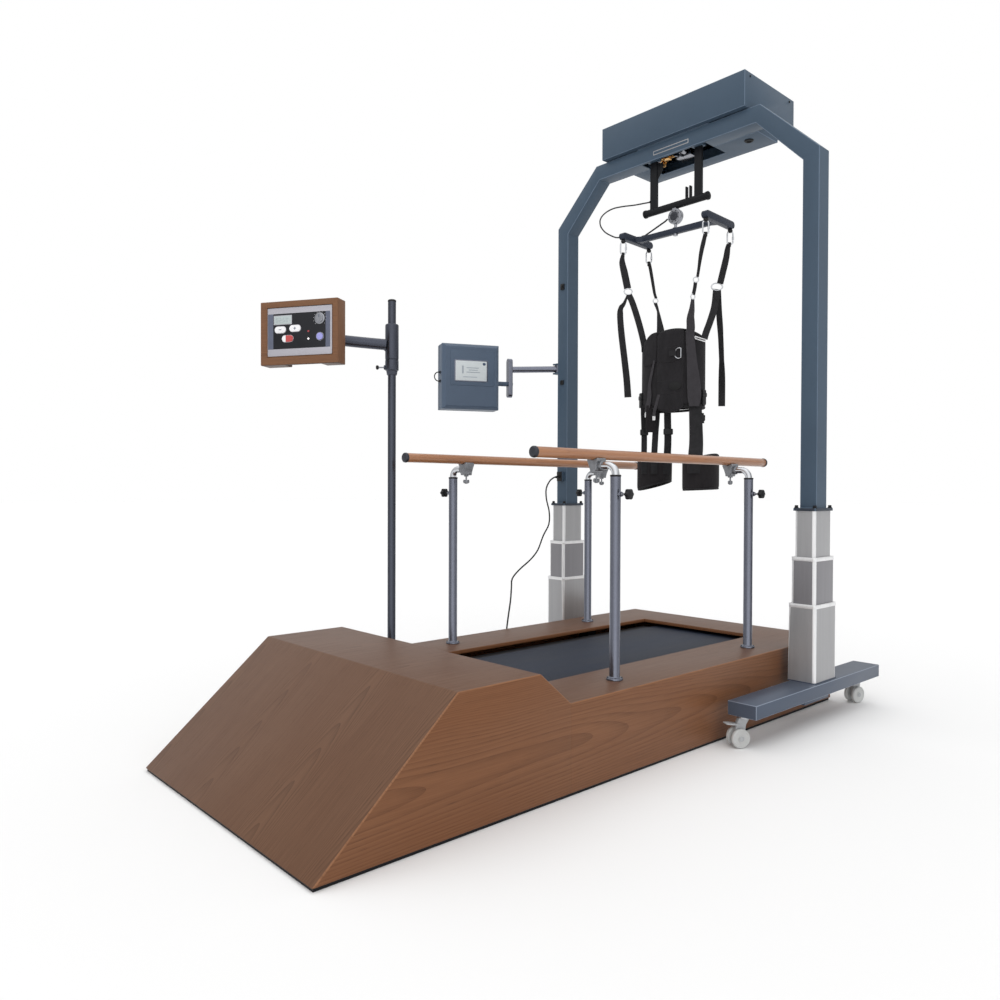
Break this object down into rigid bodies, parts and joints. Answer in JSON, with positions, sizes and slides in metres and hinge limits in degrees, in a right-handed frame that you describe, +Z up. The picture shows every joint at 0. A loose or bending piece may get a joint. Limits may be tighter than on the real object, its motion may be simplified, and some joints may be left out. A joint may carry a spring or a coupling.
{
  "type": "body weight support gait trainer",
  "caption": "Treadmill with height-adjustable hand rails and a console on a mast, under a telescopic rolling gantry that carries a lift yoke, spreader bar and walking harness.",
  "frame": {"origin": "on the floor, at the centre of the treadmill's footprint, on the underside of its base frame", "axes": "+Z up, -Y towards the front hood, +X towards the side away from the console mast"},
  "size_m": [1.9728, 2.84, 2.8621],
  "materials": {
    "walnut_veneer": "satin",
    "rail_wood": "satin",
    "deck_board": "matte",
    "black_steel": "satin",
    "belt_rubber": "matte",
    "polished_steel": "brushed",
    "grey_casting": "satin",
    "dark_paint": "metallic",
    "chrome": "polished",
    "black_plastic": "matte",
    "black_cable": "matte",
    "pale_key": "gloss",
    "silver_dial": "brushed",
    "violet_button": "gloss",
    "blue_grey_paint": "satin",
    "brushed_aluminium": "brushed",
    "black_webbing": "matte",
    "caster_metal": "satin",
    "wheel_plastic": "satin"
  },
  "bodies": {
    "treadmill": {"base_frame": "black_steel", "front_hood": "walnut_veneer", "deck_surround": "walnut_veneer", "running_deck": "deck_board", "running_belt": "belt_rubber", "drive_motor": "grey_casting", "near_front_post": "dark_paint", "near_rear_post": "dark_paint", "far_front_post": "dark_paint", "far_rear_post": "dark_paint", "mast_pole": "dark_paint"},
    "front_roller": {"front_roller": "polished_steel"},
    "rear_roller": {"rear_roller": "polished_steel"},
    "near_hand_rail": {"near_rail": "rail_wood", "near_front_arm": "chrome", "near_rear_arm": "chrome"},
    "far_hand_rail": {"far_rail": "rail_wood", "far_front_arm": "chrome", "far_rear_arm": "chrome"},
    "near_front_knob": {"near_front_knob": "black_plastic"},
    "near_rear_knob": {"near_rear_knob": "black_plastic"},
    "far_front_knob": {"far_front_knob": "black_plastic"},
    "far_rear_knob": {"far_rear_knob": "black_plastic"},
    "mast_clamp": {"mast_clamp": "dark_paint"},
    "console": {"mast_collar": "dark_paint", "console_case": "walnut_veneer"},
    "left_key": {"left_key": "pale_key"},
    "right_key": {"right_key": "pale_key"},
    "start_key": {"start_key": "pale_key"},
    "stop_button": {"stop_button": "violet_button"},
    "speed_dial": {"speed_dial": "silver_dial"},
    "gantry_base": {"near_base": "dark_paint", "far_base": "dark_paint", "mains_cord": "black_cable", "cord_coil": "black_cable", "mains_plug": "black_plastic"},
    "near_stage_2": {"near_stage_2": "brushed_aluminium"},
    "far_stage_2": {"far_stage_2": "brushed_aluminium"},
    "lift_frame": {"arch_frame": "blue_grey_paint", "near_stage_3": "brushed_aluminium", "far_stage_3": "brushed_aluminium", "winch_housing": "blue_grey_paint"},
    "winch_drum": {"winch_drum": "polished_steel"},
    "yoke": {"lift_yoke": "black_steel", "load_cell": "polished_steel", "sensor_cable": "black_cable"},
    "spreader": {"spreader_bar": "dark_paint", "harness_vest": "black_webbing"},
    "left_thigh_cuff": {"left_thigh_cuff": "black_webbing"},
    "right_thigh_cuff": {"right_thigh_cuff": "black_webbing"},
    "display_arm": {"display_arm": "dark_paint"},
    "display": {"display_case": "blue_grey_paint"},
    "near_front_caster_fork": {"near_front_caster_fork": "caster_metal"},
    "near_front_caster_wheel": {"near_front_caster_wheel": "wheel_plastic"},
    "near_rear_caster_fork": {"near_rear_caster_fork": "caster_metal"},
    "near_rear_caster_wheel": {"near_rear_caster_wheel": "wheel_plastic"},
    "far_front_caster_fork": {"far_front_caster_fork": "caster_metal"},
    "far_front_caster_wheel": {"far_front_caster_wheel": "wheel_plastic"},
    "far_rear_caster_fork": {"far_rear_caster_fork": "caster_metal"},
    "far_rear_caster_wheel": {"far_rear_caster_wheel": "wheel_plastic"}
  },
  "joints": [
    {"name": "front_roller_spin", "type": "hinge", "parent": "treadmill", "child": "front_roller", "pos_m": [0, -0.8, 0.21831], "axis": [1, 0, 0], "continuous": true},
    {"name": "rear_roller_spin", "type": "hinge", "parent": "treadmill", "child": "rear_roller", "pos_m": [0, 1.2, 0.21831], "axis": [1, 0, 0], "continuous": true},
    {"name": "near_rail_height", "type": "slide", "parent": "treadmill", "child": "near_hand_rail", "axis": [0, 0, 1], "range_m": [0, 0.18]},
    {"name": "far_rail_height", "type": "slide", "parent": "treadmill", "child": "far_hand_rail", "axis": [0, 0, 1], "range_m": [0, 0.18]},
    {"name": "near_front_knob_turn", "type": "hinge", "parent": "treadmill", "child": "near_front_knob", "pos_m": [0.522, -0.081, 0.966], "axis": [1, 0, 0], "continuous": true},
    {"name": "near_rear_knob_turn", "type": "hinge", "parent": "treadmill", "child": "near_rear_knob", "pos_m": [0.522, 0.819, 0.966], "axis": [1, 0, 0], "continuous": true},
    {"name": "far_front_knob_turn", "type": "hinge", "parent": "treadmill", "child": "far_front_knob", "pos_m": [-0.522, -0.081, 0.966], "axis": [-1, 0, 0], "continuous": true},
    {"name": "far_rear_knob_turn", "type": "hinge", "parent": "treadmill", "child": "far_rear_knob", "pos_m": [-0.522, 0.819, 0.966], "axis": [-1, 0, 0], "continuous": true},
    {"name": "console_height", "type": "slide", "parent": "treadmill", "child": "mast_clamp", "axis": [0, 0, 1], "range_m": [-0.35, 0.09]},
    {"name": "console_swing", "type": "hinge", "parent": "mast_clamp", "child": "console", "pos_m": [-0.529, -0.361, 1.531], "axis": [0, 0, 1], "range_deg": [-25, 40]},
    {"name": "left_key_press", "type": "slide", "parent": "console", "child": "left_key", "axis": [-0.515, 0.8572, 0], "range_m": [0, 0.002], "stiffness_N_per_m": 600},
    {"name": "right_key_press", "type": "slide", "parent": "console", "child": "right_key", "axis": [-0.515, 0.8572, 0], "range_m": [0, 0.002], "stiffness_N_per_m": 600},
    {"name": "start_key_press", "type": "slide", "parent": "console", "child": "start_key", "axis": [-0.515, 0.8572, 0], "range_m": [0, 0.002], "stiffness_N_per_m": 600},
    {"name": "stop_button_press", "type": "slide", "parent": "console", "child": "stop_button", "axis": [-0.515, 0.8572, 0], "range_m": [0, 0.003], "stiffness_N_per_m": 600},
    {"name": "speed_dial_turn", "type": "hinge", "parent": "console", "child": "speed_dial", "pos_m": [-0.53424, -0.70136, 1.6571], "axis": [0.515, -0.8572, 0], "range_deg": [-150, 150]},
    {"name": "gantry_roll", "type": "slide", "parent": "treadmill", "child": "gantry_base", "axis": [0, 1, 0], "range_m": [-0.35, 0.8]},
    {"name": "near_stage_2_slide", "type": "slide", "parent": "gantry_base", "child": "near_stage_2", "axis": [0, 0, 1], "range_m": [-0.185, 0.035]},
    {"name": "far_stage_2_slide", "type": "slide", "parent": "gantry_base", "child": "far_stage_2", "axis": [0, 0, 1], "range_m": [-0.185, 0.035]},
    {"name": "gantry_lift", "type": "slide", "parent": "gantry_base", "child": "lift_frame", "axis": [0, 0, 1], "range_m": [-0.36, 0.06], "deforming": ["mains_cord"]},
    {"name": "winch_drum_turn", "type": "hinge", "parent": "lift_frame", "child": "winch_drum", "pos_m": [-0.04, 1.085, 2.745], "axis": [1, 0, 0], "range_deg": [-205, 55]},
    {"name": "yoke_lift", "type": "slide", "parent": "lift_frame", "child": "yoke", "axis": [0, 0, 1], "range_m": [-0.12, 0.03]},
    {"name": "spreader_swivel", "type": "hinge", "parent": "yoke", "child": "spreader", "pos_m": [-0.04, 0.978, 2.252], "axis": [0, 0, 1], "range_deg": [-30, 30], "deforming": ["sensor_cable"]},
    {"name": "left_cuff_swing", "type": "hinge", "parent": "spreader", "child": "left_thigh_cuff", "pos_m": [-0.157, 0.978, 1.385], "axis": [1, 0, 0], "range_deg": [-25, 25]},
    {"name": "right_cuff_swing", "type": "hinge", "parent": "spreader", "child": "right_thigh_cuff", "pos_m": [0.112, 0.978, 1.385], "axis": [1, 0, 0], "range_deg": [-25, 25]},
    {"name": "display_arm_swing", "type": "hinge", "parent": "lift_frame", "child": "display_arm", "pos_m": [-0.824, 0.978, 1.66], "axis": [0, 0, 1], "range_deg": [-60, 10]},
    {"name": "display_tilt", "type": "hinge", "parent": "display_arm", "child": "display", "pos_m": [-1.02891, 0.79096, 1.578], "axis": [0.4305, 0.9026, 0], "range_deg": [-20, 20]},
    {"name": "near_front_caster_swivel", "type": "hinge", "parent": "gantry_base", "child": "near_front_caster_fork", "pos_m": [0.6733, 0.436, 0.122], "axis": [0, 0, 1], "continuous": true},
    {"name": "near_front_wheel_spin", "type": "hinge", "parent": "near_front_caster_fork", "child": "near_front_caster_wheel", "pos_m": [0.6603, 0.41348, 0.0375], "axis": [-0.866, 0.5, 0], "continuous": true},
    {"name": "near_rear_caster_swivel", "type": "hinge", "parent": "gantry_base", "child": "near_rear_caster_fork", "pos_m": [0.6733, 1.434, 0.122], "axis": [0, 0, 1], "continuous": true},
    {"name": "near_rear_wheel_spin", "type": "hinge", "parent": "near_rear_caster_fork", "child": "near_rear_caster_wheel", "pos_m": [0.66613, 1.40901, 0.0375], "axis": [-0.9613, 0.2756, 0], "continuous": true},
    {"name": "far_front_caster_swivel", "type": "hinge", "parent": "gantry_base", "child": "far_front_caster_fork", "pos_m": [-0.7533, 0.436, 0.122], "axis": [0, 0, 1], "continuous": true},
    {"name": "far_front_wheel_spin", "type": "hinge", "parent": "far_front_caster_fork", "child": "far_front_caster_wheel", "pos_m": [-0.75871, 0.41057, 0.0375], "axis": [-0.9781, 0.2079, 0], "continuous": true},
    {"name": "far_rear_caster_swivel", "type": "hinge", "parent": "gantry_base", "child": "far_rear_caster_fork", "pos_m": [-0.7533, 1.434, 0.122], "axis": [0, 0, 1], "continuous": true},
    {"name": "far_rear_wheel_spin", "type": "hinge", "parent": "far_rear_caster_fork", "child": "far_rear_caster_wheel", "pos_m": [-0.74231, 1.41044, 0.0375], "axis": [-0.9063, -0.4226, 0], "continuous": true}
  ],
  "couplings": [
    {"joint": "rear_roller_spin", "follows": "front_roller_spin", "ratio": 1},
    {"joint": "near_stage_2_slide", "follows": "gantry_lift", "ratio": 0.5},
    {"joint": "far_stage_2_slide", "follows": "gantry_lift", "ratio": 0.5},
    {"joint": "winch_drum_turn", "follows": "yoke_lift", "rad_per_m": 29.412}
  ]
}
